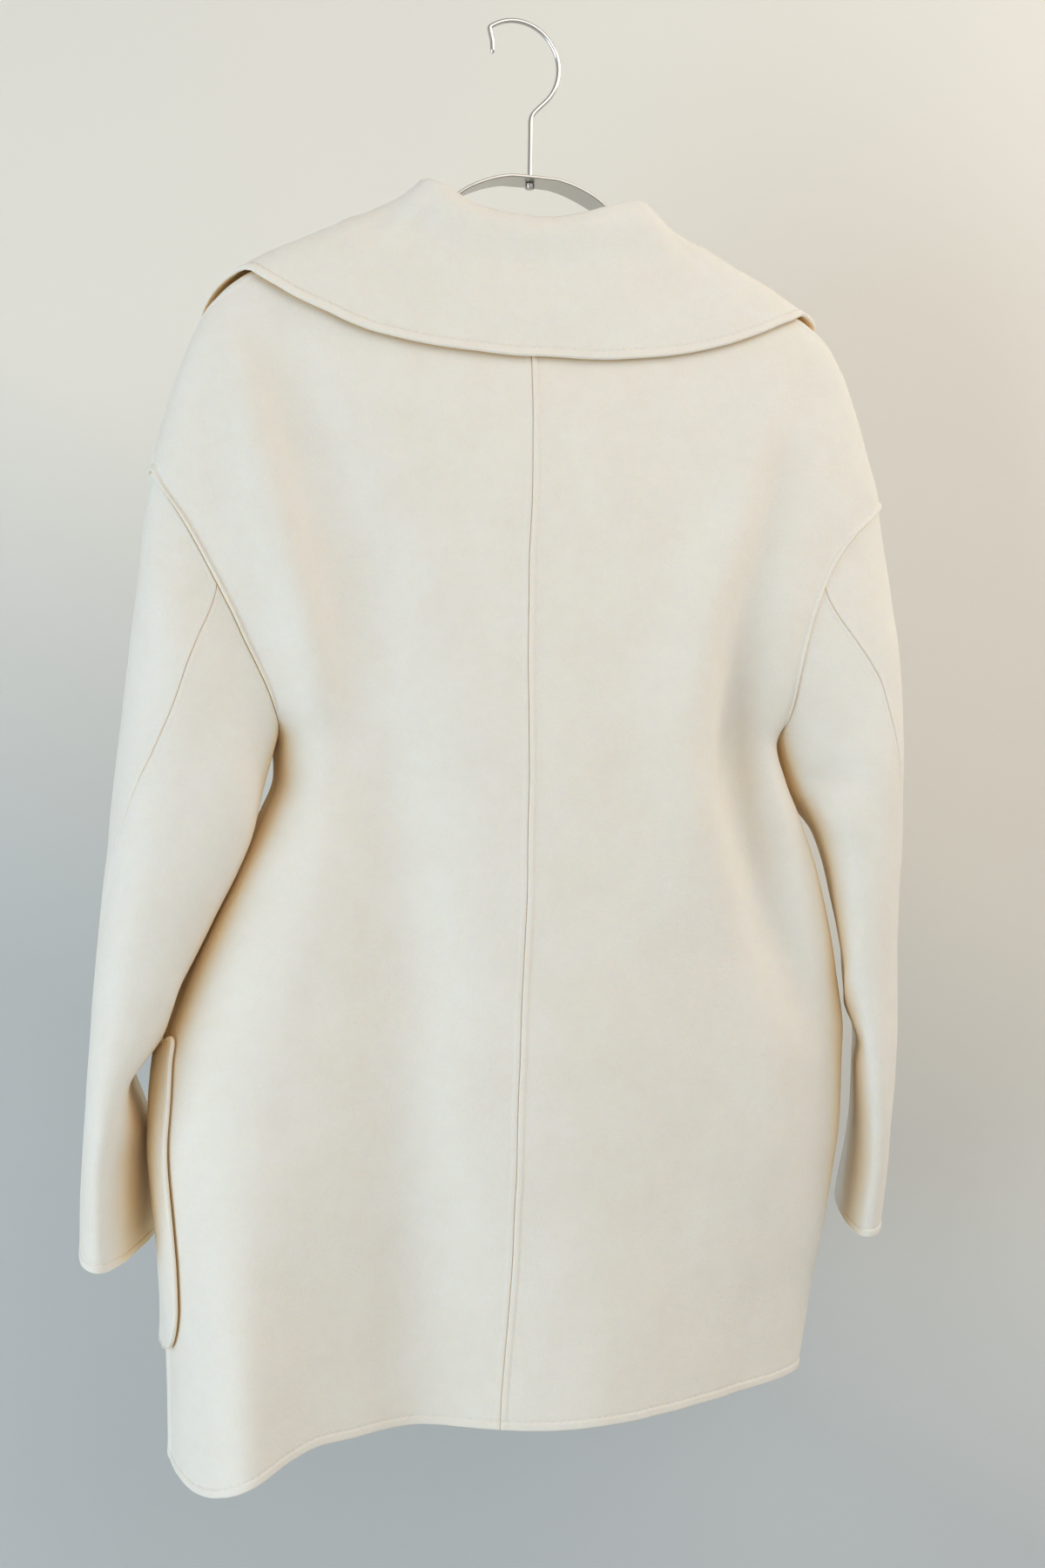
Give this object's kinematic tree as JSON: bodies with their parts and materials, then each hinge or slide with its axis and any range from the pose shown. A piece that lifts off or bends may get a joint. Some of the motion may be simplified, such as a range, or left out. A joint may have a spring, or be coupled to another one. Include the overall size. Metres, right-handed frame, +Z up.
{
  "type": "short coat on hanger",
  "caption": "Short felted-wool coat with a wide turned-down collar, dropped shoulders, two-piece sleeves and patch pockets, hanging on a bent steel hanger.",
  "frame": {"origin": "inside top of the hanger hook's bend, where it rests on a rail or peg", "axes": "+Z up, +X to the wearer's left, the coat's front faces -Y and its back +Y"},
  "size_m": [0.6173, 0.2066, 0.9803],
  "materials": {
    "wool": "ivory felted double-face wool, matt, short soft nap",
    "bright_steel": "polished steel rod",
    "satin_steel": "satin steel sheet"
  },
  "bodies": {
    "root": {"back_left": "wool", "back_right": "wool", "front_left": "wool", "front_right": "wool", "sleeve_left_top": "wool", "sleeve_left_under": "wool", "sleeve_right_top": "wool", "sleeve_right_under": "wool", "collar": "wool", "pocket_left": "wool", "pocket_right": "wool", "hanger_bar": "satin_steel", "hanger_screw": "satin_steel", "hanger_hook": "bright_steel"}
  },
  "joints": []
}
